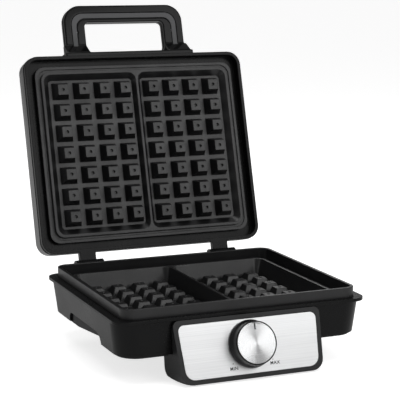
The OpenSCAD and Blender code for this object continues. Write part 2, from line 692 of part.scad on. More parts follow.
module control_box() color("#2c2d2f") difference() {
    union() {
        difference() {
            intersection() {
                placed() box_side(0, 100);
                on_panel() panel_prism(0, -60, 1);
            }
            difference() {
                intersection() {
                    placed() box_side(box_t, 100);
                    on_panel() panel_prism(box_t, -70, -fascia_t - front_wall_t);
                }
            }
        }
        placed() intersection() {
            box_side(0, box_top_hw - 2);
            for (x = [-boss_x, boss_x], z = boss_z) translate([x, panel_foot_y, z])
                rotate([-90, 0, 0]) cylinder(h = house_front_y - fit_gap - panel_foot_y, r = 4.2);
        }
        on_panel() for (s = [-1, 1]) translate([s * 17, 0, bracket_z])
            cylinder(h = -bracket_z - fascia_t - eps, r = 3.2);
    }
    on_panel() panel_prism(bezel_w, -fascia_t, 3);
    on_panel() translate([0, 0, -20]) cylinder(h = 30, r = shaft_r + 1.5);
    on_panel() for (s = [-1, 1]) translate([s * 17, 0, bracket_z - 1])
        cylinder(h = 7, r = screw_r - 0.3);
    placed() for (x = [-boss_x, boss_x], z = boss_z) translate([x, house_front_y, z])
        rotate([90, 0, 0]) translate([0, 0, -1]) cylinder(h = 5, r = screw_r - 0.2);
    placed() for (s = [-1, 1]) translate([s * front_foot_x, front_foot_y, 0])
        cylinder(h = 3.05, r = foot_r + 0.1);
}

module control_box_screws() placed() color("silver")
    for (x = [-boss_x, boss_x], z = boss_z)
        translate([x, house_front_y + housing_t + 1.4, z]) rotate([-90, 0, 0])
            screw(housing_t + 1.3 + 3, screw_r - 0.25);

module fascia_panel() on_panel() color("#c9cacc") difference() {
    panel_prism(bezel_w + 0.25, -fascia_t + 0.05, 0.05);
    translate([0, 0, -2]) cylinder(h = 4, r = shaft_r + 1.2);
}

module thermostat_bracket() on_panel() color("silver") difference() {
    translate([0, 0, bracket_z - 1.2]) linear_extrude(1.15) polygon(rounded(21, 7, 3));
    translate([0, 0, bracket_z - 5]) cylinder(h = 10, r = shaft_r + 0.3);
    for (s = [-1, 1]) translate([s * 17, 0, bracket_z - 3]) cylinder(h = 6, r = screw_r);
}

module thermostat_body() on_panel() color("#7c5a3a") difference() {
    union() {
        translate([0, 0, bracket_z - 1.3 - thermo_len]) linear_extrude(thermo_len)
            polygon(rounded(thermo_half, thermo_half, 2));
        for (s = [-1, 1]) translate([s * (thermo_half - 2), 0, bracket_z - thermo_len - 5])
            linear_extrude(5) square([0.8, 6], center = true);
    }
    translate([0, 0, bracket_z - 12]) cylinder(h = 14, r = shaft_r + bore_gap);
}

module thermostat_shaft() on_panel() color("silver") difference() {
    translate([0, 0, bracket_z - 11.5]) cylinder(h = 11.5 - bracket_z + knob_h - 4, r = shaft_r);
    translate([shaft_r - 0.8, -5, 2.4]) cube([5, 10, knob_h]);
}

module knob_body() on_panel() color("#18181a") difference() {
    union() {
        rotate_extrude($fn = 96) polygon([
            [0, knob_h - 3], [knob_rim_r - 1.6, knob_h - 3], [knob_rim_r - 1.4, 6.5],
            [knob_foot_r - 1.8, 2], [knob_foot_r - 0.5, 1], [knob_foot_r, 1.4],
            [knob_foot_r - 0.4, 3.2],
            [knob_rim_r + 0.4, 6.5], [knob_rim_r, 9], [knob_rim_r, knob_h - 0.4],
            [knob_rim_r - 0.4, knob_h], [0, knob_h]]);
        translate([0, 0, 1.6]) cylinder(h = knob_h - 3, r = shaft_r + 2.6);
    }
    translate([0, 0, knob_h - 1.3]) cylinder(h = 3, r = knob_face_r + 0.15, $fn = 96);
    difference() {
        translate([0, 0, -1]) cylinder(h = knob_h - 2.95, r = shaft_r + bore_gap);
        translate([shaft_r - 0.7, -5, 2.4]) cube([5, 10, knob_h]);
    }
}

module knob_cap() on_panel() color("#d6d7d9") difference() {
    translate([0, 0, knob_h - 1.25]) cylinder(h = 1.2, r = knob_face_r, $fn = 96);
    translate([-0.6, knob_face_r - 7, knob_h - 0.6]) cube([1.2, 6.6, 2]);
}

module knob_pointer() on_panel() color("black")
    translate([-0.5, knob_face_r - 6.9, knob_h - 0.58]) cube([1, 6.4, 0.62]);

module knob_spring() on_panel() color("silver") translate([0, 0, 3]) difference() {
    cylinder(h = 4, r = shaft_r + 3.2);
    translate([0, 0, -1]) cylinder(h = 6, r = shaft_r + 2.65);
    translate([0, -1.2, -1]) cube([12, 2.4, 6]);
}

// ------------------------------------------------------------------ lid

module lid_frame() opened() color("#2c2d2f") difference() {
    union() {
        ring(lid_hx, lid_hy, lid_corner_r, lid_lip_w, lid_z, lid_z + lid_ring_h);
        ring(lip_in_hx + 1.4, lip_in_hy + 1.4, lid_corner_r - 2.6, 1.4, lid_z, ring_top_z + ring_t);
        difference() {
            slab(lip_in_hx + 0.5, lip_in_hy + 0.5, lid_corner_r - 3, ring_top_z, ring_top_z + ring_t);
            slab(floor_hx, floor_hy, 8, ring_top_z - 1, ring_top_z + ring_t + 1);
        }
        for (s = [-1, 1]) translate([s * hinge_x, 0, 0]) {
            translate([-knuckle_hw, -hinge_back - 1, lid_z]) cube([2 * knuckle_hw, 6, lid_ring_h]);
            translate([-knuckle_hw, -hinge_back + 1, lid_z])
                cube([2 * knuckle_hw, hinge_back - 1, arm_top - hinge_drop]);
            translate([-knuckle_hw, 0, hinge_z]) rotate([0, 90, 0])
                cylinder(h = 2 * knuckle_hw, r = knuckle_r);
        }
    }
    for (s = [-1, 1]) translate([s * hinge_x - knuckle_hw - 1, 0, hinge_z]) rotate([0, 90, 0])
        cylinder(h = 2 * knuckle_hw + 2, r = pin_r + bore_gap);
    at_corners(border_hx - 6, border_hy - 6) translate([0, 0, ring_top_z - 1])
        cylinder(h = 5, r = screw_r);
    at_corners(cover_boss_x, cover_boss_y) translate([0, 0, ring_top_z - 1]) {
        cylinder(h = 5, r = screw_r);
        cylinder(h = 2.6, r = screw_head_r + 0.2);
    }
}

// Outer form of the cover, drawn in by t
cover_z = lid_z + lid_ring_h + fit_gap;
cover_r = lid_corner_r - 2.6 + fit_gap + cover_t;
cover_boss_x = 60;
cover_boss_y = border_hy - 8;
module cover_form(t, z0) hull() {
    slab(cover_hx - t, cover_hy - t, cover_r - t, z0, z0 + 1);
    slab(cover_hx - 0.6 - t, cover_hy - 0.6 - t, cover_r - t, lid_top_z - 9.5 - t, lid_top_z - 9 - t);
    slab(cover_hx - 4 - t, cover_hy - 4 - t, cover_r - t, lid_top_z - 3.5 - t, lid_top_z - 3 - t);
    slab(cover_hx - 12 - t, cover_hy - 12 - t, lid_corner_r - 2, lid_top_z - 0.5 - t, lid_top_z - t);
}

module handle_saddle(t) translate([0, yc - cover_hy + 20 + t, lid_z + 15]) linear_extrude(lid_h - 15 - t)
    polygon(rounded(handle_hw - 1 - t, 20, 3));

module lid_cover() opened() color("#1c1c1e") difference() {
    union() {
        difference() {
            union() {
                cover_form(0, cover_z);
                handle_saddle(0);
            }
            cover_form(cover_t, cover_z - 2);
            handle_saddle(cover_t);
        }
        intersection() {
            cover_form(1, cover_z);
            union() {
                at_corners(cover_boss_x, cover_boss_y) translate([0, 0, ring_top_z + ring_t + 0.1])
                    cylinder(h = 40, r = 4);
                at_corners(floor_hx - 18, floor_hy - 16) translate([0, 0, upper_shield_z + 0.1])
                    cylinder(h = 40, r = 3);
            }
        }
    }
    at_corners(cover_boss_x, cover_boss_y) translate([0, 0, ring_top_z]) cylinder(h = 13, r = screw_r - 0.2);
    for (s = [-1, 1], z = [handle_z0 - 5.5]) translate([s * handle_screw_x, yc - lid_hy - 5, z])
        rotate([-90, 0, 0]) cylinder(h = 14, r = screw_r);
    for (s = [-1, 1]) translate([s * lamp_x, yc - lamp_y, lid_top_z - 10])
        cylinder(h = 20, r = lamp_r + 0.05);
}

module lid_cover_screws() opened() color("silver")
    at_corners(cover_boss_x, cover_boss_y) translate([0, 0, ring_top_z + 1.55]) mirror([0, 0, 1])
        screw(11, screw_r - 0.25, screw_head_r, 1.5);

module lid_leads() opened() color("firebrick") {
    z = upper_heater_z;
    y = yc + heater_hy + 21.6;
    for (s = [-1, 1]) lead([[s * tail_x, y, z], [s * tail_x, y + 6, z + 5],
                            [s * 30, y + 8, z + 7], [s * 48, y + 8, z + 7]], 1.1);
}

module lamp(s, c) opened() color(c) translate([s * lamp_x, yc - lamp_y, lid_top_z - 5]) {
    cylinder(h = 6, r = lamp_r);
    cylinder(h = 2, r = lamp_r + 1.4);
}
module power_lamp_lens() lamp(-1, "#b51d1d");
module ready_lamp_lens() lamp(1, "#2f8f3a");

module lamp_holder() opened() color("ivory")
    translate([0, yc - lamp_y, lid_top_z - 8.1]) {
        difference() {
            translate([-lamp_x - 7, -6, 0]) cube([2 * lamp_x + 14, 12, 3]);
            for (s = [-1, 1]) translate([s * lamp_x, 0, 1.4]) cylinder(h = 3, r = lamp_r - 0.4);
        }
        translate([-3, -3, 0]) cube([6, 6, 8.1 - cover_t - 0.1]);
    }

// ------------------------------------------------------------------ handle

// The loop seen from above the closed lid, between two heights
module loop(z0, z1) translate([0, yc, z0]) mirror([0, 1, 0]) linear_extrude(z1 - z0) difference() {
    union() {
        translate([0, (handle_y0 + handle_y1) / 2 - 10])
            polygon(rounded(handle_hw, (handle_y1 - handle_y0) / 2 + 10, handle_r));
    }
    translate([0, handle_y0 - 50]) square([300, 100], center = true);
    intersection() {
        translate([0, (grip_y + handle_y0 + base_bar) / 2 - 10])
            polygon(rounded(handle_hw - leg_w, (grip_y - handle_y0 - base_bar) / 2 + 10, 5));
        translate([0, (grip_y + handle_y0 + base_bar) / 2 + 10])
            polygon(rounded(handle_hw - leg_w, (grip_y - handle_y0 - base_bar) / 2 + 10, 9));
    }
}

// The legs' feet, which spread down the front of the lid
module leg_feet() {
    for (s = [0, 1]) mirror([s, 0, 0])
        translate([handle_hw - leg_w, yc, 0]) rotate([90, 0, 90]) linear_extrude(leg_w + 2.5) polygon([
            [-handle_y0, parting_z], [-handle_y0, base_bar_z], [-handle_y0 - base_bar, base_bar_z],
            [-handle_y0 - base_bar - 10, handle_z0], [-handle_y0 - base_bar - 10, parting_z]]);
    translate([-base_bar_hw, yc - handle_y0 - base_bar, base_bar_z])
        cube([2 * base_bar_hw, base_bar, parting_z - base_bar_z]);
}

// The grey strip's path, widened to w
module strip_form(w, z0, z1) translate([0, yc, z0]) mirror([0, 1, 0]) linear_extrude(z1 - z0) {
    difference() {
        translate([0, strip_y - 40]) polygon(rounded(strip_x + w / 2, 40 + w / 2, handle_r - 6));
        translate([0, strip_y - 40 - w / 2]) polygon(rounded(strip_x - w / 2, 40, handle_r - 6 - w / 2));
        translate([0, strip_low_y - 60]) square([300, 120], center = true);
        translate([0, strip_y - 40 - w / 2 - 40]) square([2 * strip_x - w, 80], center = true);
    }
    for (s = [-1, 1]) translate([s * strip_x, strip_low_y]) circle(w / 2);
}

module handle_top_shell() opened() color("#111113") difference() {
    loop(parting_z + 0.05, handle_z1);
    for (s = [-1, 1]) translate([s * handle_screw_x, yc - handle_y1 + 30, parting_z - 1])
        cylinder(h = 6, r = screw_r - 0.2);
}

module handle_under_shell() opened() color("#111113") difference() {
    union() {
        loop(handle_z0, parting_z - 0.05);
        leg_feet();
    }
    strip_form(strip_w + 0.3, handle_z0 - 1, handle_z0 + strip_deep);
    translate([0, yc, 0]) for (s = [-1, 1]) {
        translate([s * handle_screw_x, -handle_y0 + 1, handle_z0 - 5.5]) rotate([90, 0, 0])
            cylinder(h = 9, r = screw_r - 0.2);
        translate([s * handle_screw_x, -handle_y1 + 30, 0]) cylinder(h = 200, r = screw_r);
        translate([s * handle_screw_x, -handle_y1 + 30, handle_z0 - 1])
            cylinder(h = 4.1, r = handle_head_r + 0.2);
    }
}

module handle_strip() opened() color("#77797b")
    strip_form(strip_w, handle_z0 - 0.1, handle_z0 + strip_deep - 0.1);

module handle_screws() opened() color("silver") translate([0, yc, 0]) for (s = [-1, 1]) {
    translate([s * handle_screw_x, -handle_y1 + 30, handle_z0 + 3.1]) mirror([0, 0, 1])
        screw(6, screw_r - 0.25, handle_head_r, 1.5);
    translate([s * handle_screw_x, -cover_hy + cover_t + 0.6, handle_z0 - 5.5]) rotate([-90, 0, 0])
        screw(10, screw_r - 0.25, screw_head_r, 1.6);
}

// ------------------------------------------------------------------ nodes

base_housing();
bottom_cover();
rubber_feet();
bottom_cover_screws();
lower_plate();
lower_plate_screws();
lower_heater();
lower_heater_clamps();
lower_heat_shield();
lower_thermal_fuse();
control_box();
control_box_screws();
fascia_panel();
thermostat_body();
thermostat_bracket();
terminal_block();
cord_gland();
base_leads();
hinge_pins();
hinge_pin_clips();
knob_body();
knob_cap();
knob_pointer();
knob_spring();
thermostat_shaft();
lid_frame();
lid_cover();
lid_cover_screws();
upper_plate();
upper_plate_screws();
upper_heater();
upper_heater_clamps();
upper_heat_shield();
upper_thermal_fuse();
lid_leads();
handle_top_shell();
handle_under_shell();
handle_strip();
handle_screws();
power_lamp_lens();
ready_lamp_lens();
lamp_holder();
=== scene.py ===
# %% [markdown]
# # A double waffle maker, standing open
# The engineering model is loaded as a fixed frame. It says how big each part is, where it sits and how
# it moves. This lesson gives every part a finish, and remodels the parts whose look depends on shape:
# the cast plates, the mouldings with their rounded edges, and the thermostat knob.

# %% Load the frame
import bpy
import json
from math import cos, pi, radians, sin
from mathutils import Matrix, Vector


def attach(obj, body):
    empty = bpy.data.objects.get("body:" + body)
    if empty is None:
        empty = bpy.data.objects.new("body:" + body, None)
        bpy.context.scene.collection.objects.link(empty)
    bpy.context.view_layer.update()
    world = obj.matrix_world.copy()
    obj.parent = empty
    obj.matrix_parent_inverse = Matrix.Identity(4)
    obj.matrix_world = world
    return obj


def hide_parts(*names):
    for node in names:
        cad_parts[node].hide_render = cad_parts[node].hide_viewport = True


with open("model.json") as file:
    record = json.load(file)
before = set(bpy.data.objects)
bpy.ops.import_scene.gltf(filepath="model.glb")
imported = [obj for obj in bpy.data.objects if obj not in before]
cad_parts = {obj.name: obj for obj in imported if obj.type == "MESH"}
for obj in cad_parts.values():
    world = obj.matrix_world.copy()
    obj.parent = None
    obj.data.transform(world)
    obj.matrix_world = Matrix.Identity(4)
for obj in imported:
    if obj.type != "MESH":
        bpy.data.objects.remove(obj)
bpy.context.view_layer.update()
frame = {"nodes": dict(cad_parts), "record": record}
joints = {j["name"]: j for j in frame["record"]["behaviour"]["joints"]}
body_of_node = {n: b for b, names in frame["record"]["behaviour"]["bodies"].items() for n in names}
MM = 0.001

# %% [markdown]
# ## Camera
# The appliance is seen from its front left, a little above the worktop, with a long lens that keeps the
# upright lines nearly parallel. The camera's place is given in metres, and its three axes are given as
# vectors, because that says the direction of view and the roll in one go.

# %% Camera
camera_data = bpy.data.cameras.new("camera")
camera_data.sensor_width = 36.0
camera_data.lens = 126.9
camera = bpy.data.objects.new("camera", camera_data)
bpy.context.collection.objects.link(camera)
CAMERA_PLACE = Vector((-0.5568, -1.3359, 0.3997))
CAMERA_RIGHT = Vector((0.9183, -0.3958, 0.0039))
CAMERA_FORWARD = Vector((0.3903, 0.9039, -0.1748))
camera_up = CAMERA_RIGHT.cross(CAMERA_FORWARD).normalized()
turn = Matrix((CAMERA_RIGHT.normalized(), camera_up, -CAMERA_FORWARD.normalized())).transposed()
camera.matrix_world = Matrix.Translation(CAMERA_PLACE) @ turn.to_4x4()
bpy.context.scene.camera = camera
bpy.context.scene.view_settings.view_transform = "Standard"
print("lens", camera_data.lens, "mm")

# %% [markdown]
# ## Worktop and light
# Black plastic shows its shape only by what it reflects, so the lights could be few and small, but then it
# would look like a flat patch. Five softboxes are used: a broad one in front and to the right, which also
# makes the bright wedges on the spun face of the knob, a large one overhead, a strong one behind, and a
# narrow one at each side. A softbox is given by its brightness, so its size can change on its own.

# %% Helpers for lights and for clean selections
def deselect_all():
    if bpy.context.mode != "OBJECT":
        bpy.ops.object.mode_set(mode="OBJECT")
    bpy.ops.object.select_all(action="DESELECT")


def softbox(name, place, target, width, height, brightness):
    deselect_all()
    bpy.ops.object.light_add(type="AREA", location=place)
    lamp = bpy.context.object
    lamp.name = name
    lamp.data.shape = "RECTANGLE"
    lamp.data.size, lamp.data.size_y = width, height
    lamp.data.energy = brightness * pi * width * height
    lamp.rotation_euler = (Vector(target) - Vector(place)).to_track_quat("-Z", "Y").to_euler()
    print(name, "power", round(lamp.data.energy, 2), "W")


# %% Lights
MIDDLE = (0.0, 0.0, 0.12)
softbox("front_light", (0.65, -1.26, 0.86), (0.0, 0.05, 0.14), 1.2, 0.62, 2.6)
softbox("top_light", (-0.1, -0.2, 1.9), MIDDLE, 1.6, 1.0, 2.4)
softbox("left_light", (-1.7, 0.15, 0.7), MIDDLE, 0.35, 1.3, 0.9)
softbox("right_light", (1.7, -0.5, 0.7), MIDDLE, 0.35, 1.2, 1.1)
softbox("back_light", (0.5, 1.7, 1.1), MIDDLE, 1.4, 0.5, 3.0)

# %% [markdown]
# The worktop and the surround are white where the camera looks straight at them, and much dimmer for
# everything that they light. A Light Path node tells the two cases apart. So the black mouldings keep a
# deep black, and only the softboxes draw highlights on them.

# %% A helper that gives the camera one level and all else another
def camera_level(tree, others, camera, socket):
    path = tree.nodes.new("ShaderNodeLightPath")
    level = tree.nodes.new("ShaderNodeMapRange")
    level.inputs["To Min"].default_value = others
    level.inputs["To Max"].default_value = camera
    tree.links.new(path.outputs["Is Camera Ray"], level.inputs["Value"])
    tree.links.new(level.outputs["Result"], socket)


# %% Worktop
WORKTOP_SIZE, WORKTOP_DROP = 30, 0.4 * MM
deselect_all()
bpy.ops.mesh.primitive_plane_add(size=WORKTOP_SIZE, location=(0, 0, -WORKTOP_DROP))
floor = bpy.context.object
floor.name = "worktop"
white_paint = bpy.data.materials.new("worktop_white")
white_paint.use_nodes = True
white_shader = white_paint.node_tree.nodes["Principled BSDF"]
white_shader.inputs["Base Color"].default_value = (0.9, 0.9, 0.9, 1)
white_shader.inputs["Roughness"].default_value = 0.6
white_shader.inputs["Specular IOR Level"].default_value = 0.1
white_shader.inputs["Emission Color"].default_value = (1, 1, 1, 1)
camera_level(white_paint.node_tree, 0.1, 0.72, white_shader.inputs["Emission Strength"])
floor.data.materials.append(white_paint)
print("worktop", WORKTOP_SIZE, "m wide")

# %% Surround
world = bpy.data.worlds.new("studio")
bpy.context.scene.world = world
world.use_nodes = True
sky = world.node_tree
surround = sky.nodes["Background"]
surround.inputs["Color"].default_value = (1, 1, 1, 1)
camera_level(sky, 0.26, 1.0, surround.inputs["Strength"])
print("surround ready")

# %% [markdown]
# ## Shared effects
# Three effects are used by many finishes, so each is a node group that is built once. *MouldedSkin* is
# the fine grain and the faint cloudiness of injection-moulded plastic. *BrushedLines* is the grain left
# by abrasive belts. *CastSkin* is the orange-peel of a sprayed coating on cast metal.

# %% A helper that starts a node group
def new_group(name, inputs, outputs):
    group = bpy.data.node_groups.new(name, "ShaderNodeTree")
    for label, kind, value in inputs:
        socket = group.interface.new_socket(label, in_out="INPUT", socket_type=kind)
        socket.default_value = value
    for label, kind in outputs:
        group.interface.new_socket(label, in_out="OUTPUT", socket_type=kind)
    start = group.nodes.new("NodeGroupInput")
    end = group.nodes.new("NodeGroupOutput")
    place = group.nodes.new("ShaderNodeTexCoord")
    return group, start, end, place


def noise(tree, vector, scale, detail=2.0, rough=0.5):
    node = tree.nodes.new("ShaderNodeTexNoise")
    node.inputs["Detail"].default_value = detail
    node.inputs["Roughness"].default_value = rough
    if hasattr(scale, "default_value"):
        tree.links.new(scale, node.inputs["Scale"])
    else:
        node.inputs["Scale"].default_value = scale
    tree.links.new(vector, node.inputs["Vector"])
    return node.outputs["Fac"]


def spread(tree, value, low, high, from_low=0.3, from_high=0.7):
    node = tree.nodes.new("ShaderNodeMapRange")
    tree.links.new(value, node.inputs["Value"])
    node.inputs["From Min"].default_value = from_low
    node.inputs["From Max"].default_value = from_high
    for socket, limit in (("To Min", low), ("To Max", high)):
        if hasattr(limit, "default_value"):
            tree.links.new(limit, node.inputs[socket])
        else:
            node.inputs[socket].default_value = limit
    return node.outputs["Result"]


def math_node(tree, operation, a, b):
    node = tree.nodes.new("ShaderNodeMath")
    node.operation = operation
    for socket, value in zip(node.inputs, (a, b)):
        if hasattr(value, "default_value"):
            tree.links.new(value, socket)
        else:
            socket.default_value = value
    return node.outputs[0]


def mix_colour(tree, factor, a, b):
    node = tree.nodes.new("ShaderNodeMix")
    node.data_type = "RGBA"
    for name, value in (("Factor", factor), ("A", a), ("B", b)):
        socket = [s for s in node.inputs if s.name == name and (s.type == "RGBA" or name == "Factor")
                  and s.enabled][0]
        if hasattr(value, "default_value"):
            tree.links.new(value, socket)
        else:
            socket.default_value = value
    return [s for s in node.outputs if s.type == "RGBA"][0]


# %% The moulded plastic effect
FLOAT, COLOUR = "NodeSocketFloat", "NodeSocketColor"
skin, start, end, place = new_group(
    "MouldedSkin",
    [("Colour", COLOUR, (0.02, 0.02, 0.02, 1)), ("Roughness low", FLOAT, 0.3),
     ("Roughness high", FLOAT, 0.45), ("Grain scale", FLOAT, 2500.0), ("Cloud lift", FLOAT, 0.15)],
    [("Colour", COLOUR), ("Roughness", FLOAT), ("Height", FLOAT)])
cloud = noise(skin, place.outputs["Object"], 22.0, 3.0)
grain = noise(skin, place.outputs["Object"], start.outputs["Grain scale"], 3.0, 0.6)
speck = noise(skin, place.outputs["Object"], 900.0, 1.0)
lift = math_node(skin, "MULTIPLY", spread(skin, cloud, 0.0, 1.0), start.outputs["Cloud lift"])
lifted = mix_colour(skin, lift, start.outputs["Colour"], (0.35, 0.35, 0.36, 1))
skin.links.new(lifted, end.inputs["Colour"])
blend = math_node(skin, "ADD", math_node(skin, "MULTIPLY", cloud, 0.6),
                  math_node(skin, "MULTIPLY", speck, 0.4))
skin.links.new(spread(skin, blend, start.outputs["Roughness low"], start.outputs["Roughness high"]),
               end.inputs["Roughness"])
skin.links.new(grain, end.inputs["Height"])

# %% The brushed metal effect
brushed, start, end, place = new_group(
    "BrushedLines",
    [("Colour", COLOUR, (0.7, 0.7, 0.7, 1)), ("Roughness low", FLOAT, 0.25), ("Roughness high", FLOAT, 0.4),
     ("Length along X", FLOAT, 12.0), ("Fineness", FLOAT, 2600.0)],
    [("Colour", COLOUR), ("Roughness", FLOAT), ("Height", FLOAT)])
stretch = brushed.nodes.new("ShaderNodeCombineXYZ")
brushed.links.new(start.outputs["Length along X"], stretch.inputs["X"])
brushed.links.new(start.outputs["Fineness"], stretch.inputs["Y"])
brushed.links.new(start.outputs["Fineness"], stretch.inputs["Z"])
scaled = brushed.nodes.new("ShaderNodeVectorMath")
scaled.operation = "MULTIPLY"
brushed.links.new(place.outputs["Object"], scaled.inputs[0])
brushed.links.new(stretch.outputs[0], scaled.inputs[1])
lines = noise(brushed, scaled.outputs[0], 1.0, 2.0, 0.55)
wide = noise(brushed, place.outputs["Object"], 30.0, 2.0)
shade = math_node(brushed, "MULTIPLY", spread(brushed, lines, 0.0, 1.0), 0.22)
brushed.links.new(mix_colour(brushed, shade, start.outputs["Colour"], (0.45, 0.45, 0.46, 1)),
                  end.inputs["Colour"])
both = math_node(brushed, "ADD", math_node(brushed, "MULTIPLY", lines, 0.75),
                 math_node(brushed, "MULTIPLY", wide, 0.25))
brushed.links.new(spread(brushed, both, start.outputs["Roughness low"], start.outputs["Roughness high"]),
                  end.inputs["Roughness"])
brushed.links.new(lines, end.inputs["Height"])

# %% The coated casting effect
cast, start, end, place = new_group(
    "CastSkin",
    [("Colour", COLOUR, (0.02, 0.02, 0.02, 1)), ("Fleck colour", COLOUR, (0.2, 0.2, 0.2, 1)),
     ("Roughness low", FLOAT, 0.3), ("Roughness high", FLOAT, 0.5), ("Fleck amount", FLOAT, 0.3)],
    [("Colour", COLOUR), ("Roughness", FLOAT), ("Height", FLOAT)])
peel = noise(cast, place.outputs["Object"], 700.0, 2.0)
patch = noise(cast, place.outputs["Object"], 45.0, 3.0)
fleck = noise(cast, place.outputs["Object"], 3200.0, 1.0)
sparse = math_node(cast, "MULTIPLY", spread(cast, fleck, 0.0, 1.0, 0.62, 0.72), start.outputs["Fleck amount"])
cast.links.new(mix_colour(cast, sparse, start.outputs["Colour"], start.outputs["Fleck colour"]),
               end.inputs["Colour"])
worn = math_node(cast, "ADD", math_node(cast, "MULTIPLY", patch, 0.7), math_node(cast, "MULTIPLY", peel, 0.3))
cast.links.new(spread(cast, worn, start.outputs["Roughness low"], start.outputs["Roughness high"]),
               end.inputs["Roughness"])
cast.links.new(math_node(cast, "ADD", peel, math_node(cast, "MULTIPLY", fleck, 0.3)), end.inputs["Height"])
print("node groups:", [g.name for g in bpy.data.node_groups])

# %% [markdown]
# ## Finishes
# Each finish is one material: an effect group feeds colour, roughness and the height of a Bump node, and
# the constants such as metalness are set on the shader's own sockets. The housing and the coated plates
# also take a Bevel node, which softens their corners in the shading alone. It costs no geometry, so it
# suits a plate whose fifty-six pegs stand too close together for a full radius on every edge.

# %% A helper that makes a finish from an effect
def finish(name, effect, values, bump=0.05, depth=0.0001, edge=0.0, **constants):
    paint = bpy.data.materials.new(name)
    paint.use_nodes = True
    tree = paint.node_tree
    shader = tree.nodes["Principled BSDF"]
    node = tree.nodes.new("ShaderNodeGroup")
    node.node_tree = effect
    for label, value in values.items():
        node.inputs[label].default_value = (*value, 1) if isinstance(value, tuple) else value
    tree.links.new(node.outputs["Colour"], shader.inputs["Base Color"])
    tree.links.new(node.outputs["Roughness"], shader.inputs["Roughness"])
    relief = tree.nodes.new("ShaderNodeBump")
    relief.inputs["Strength"].default_value = bump
    relief.inputs["Distance"].default_value = depth
    tree.links.new(node.outputs["Height"], relief.inputs["Height"])
    tree.links.new(relief.outputs["Normal"], shader.inputs["Normal"])
    if edge:
        soft_edge = tree.nodes.new("ShaderNodeBevel")
        soft_edge.samples = 6
        soft_edge.inputs["Radius"].default_value = edge
        tree.links.new(soft_edge.outputs["Normal"], relief.inputs["Normal"])
    for label, value in constants.items():
        shader.inputs[label.replace("_", " ")].default_value = value
    return paint


def moulded(name, colour, low, high, grain_scale=2500.0, cloud=0.02, bump=0.1, **constants):
    return finish(name, skin, {"Colour": colour, "Roughness low": low, "Roughness high": high,
                               "Grain scale": grain_scale, "Cloud lift": cloud}, bump, **constants)


def metal(name, colour, low, high, along=60.0, fineness=1500.0, bump=0.08, **constants):
    return finish(name, brushed, {"Colour": colour, "Roughness low": low, "Roughness high": high,
                                  "Length along X": along, "Fineness": fineness}, bump,
                  Metallic=1.0, **constants)


# %% The finishes
finishes = {
    "housing_satin": moulded("housing_satin", (0.0035, 0.0036, 0.0038), 0.24, 0.34, 1800.0, 0.005, 0.08,
                             edge=1.1 * MM, Specular_IOR_Level=0.16),
    # The control box is the housing's plastic, painted paler: painted light for its brightly lit front.
    "box_satin_painted_light": moulded("box_satin_painted_light", (0.016, 0.0163, 0.017), 0.34, 0.46, 1800.0, 0.01, 0.12,
                         Specular_IOR_Level=0.3),
    "cover_gloss": moulded("cover_gloss", (0.005, 0.005, 0.0055), 0.16, 0.24, 1800.0, 0.006, 0.04,
                           Specular_IOR_Level=0.4),
    "underside_plastic": moulded("underside_plastic", (0.012, 0.012, 0.013), 0.5, 0.65, 1400.0, 0.02, 0.3),
    "nonstick": finish("nonstick", cast,
                       {"Colour": (0.008, 0.008, 0.0085), "Fleck colour": (0.08, 0.08, 0.085),
                        "Roughness low": 0.30, "Roughness high": 0.42, "Fleck amount": 0.2},
                       0.18, 0.00012, edge=0.9 * MM, Specular_IOR_Level=0.5),
    "handle_gloss": moulded("handle_gloss", (0.003, 0.003, 0.0032), 0.08, 0.14, 1500.0, 0.003, 0.02,
                            Specular_IOR_Level=0.14),
    "grip_strip": moulded("grip_strip", (0.085, 0.086, 0.089), 0.42, 0.55, 1500.0, 0.06, 0.2,
                          Specular_IOR_Level=0.3),
    "panel_steel": metal("panel_steel", (0.86, 0.865, 0.87), 0.36, 0.5, 9.0, 2600.0, 0.10),
    "knob_black": moulded("knob_black", (0.004, 0.004, 0.0045), 0.2, 0.3, 1600.0, 0.006, 0.05,
                          Specular_IOR_Level=0.3),
    "pointer_black": moulded("pointer_black", (0.004, 0.004, 0.004), 0.4, 0.5),
    "spring_steel": metal("spring_steel", (0.5, 0.5, 0.52), 0.25, 0.35),
    "heater_sheath": metal("heater_sheath", (0.2, 0.19, 0.18), 0.35, 0.5),
    "pressed_sheet": metal("pressed_sheet", (0.6, 0.61, 0.62), 0.3, 0.45, 20.0, 900.0),
    "screw_steel": metal("screw_steel", (0.6, 0.61, 0.63), 0.25, 0.4, 200.0, 900.0),
    "pin_steel": metal("pin_steel", (0.58, 0.59, 0.6), 0.2, 0.3, 900.0, 900.0),
    "foot_rubber": moulded("foot_rubber", (0.015, 0.015, 0.015), 0.7, 0.85, 1200.0, 0.05, 0.4),
    "phenolic_brown": moulded("phenolic_brown", (0.06, 0.03, 0.015), 0.4, 0.5, 900.0, 0.03, 0.2),
    "ceramic_ivory": moulded("ceramic_ivory", (0.6, 0.56, 0.46), 0.45, 0.6, 700.0, 0.05, 0.3),
    "wire_red": moulded("wire_red", (0.35, 0.02, 0.015), 0.4, 0.5),
    "fuse_brass": metal("fuse_brass", (0.55, 0.45, 0.2), 0.3, 0.4),
    "lamp_red": moulded("lamp_red", (0.4, 0.01, 0.008), 0.06, 0.12, 900.0, 0.02, 0.02,
                        Transmission_Weight=0.35),
    "lamp_green": moulded("lamp_green", (0.02, 0.25, 0.05), 0.06, 0.12, 900.0, 0.02, 0.02,
                          Transmission_Weight=0.35),
}
print(len(finishes), "finishes")

# %% [markdown]
# ## The spun face of the knob
# The knob's disc is turned on a lathe, which leaves very fine rings. Rings spread light across
# themselves, so the disc shows bright wedges that meet in the middle. The shader makes this with
# anisotropy: its tangent runs round the knob's axis, worked out from the position, and a ring noise
# gives the grooves.

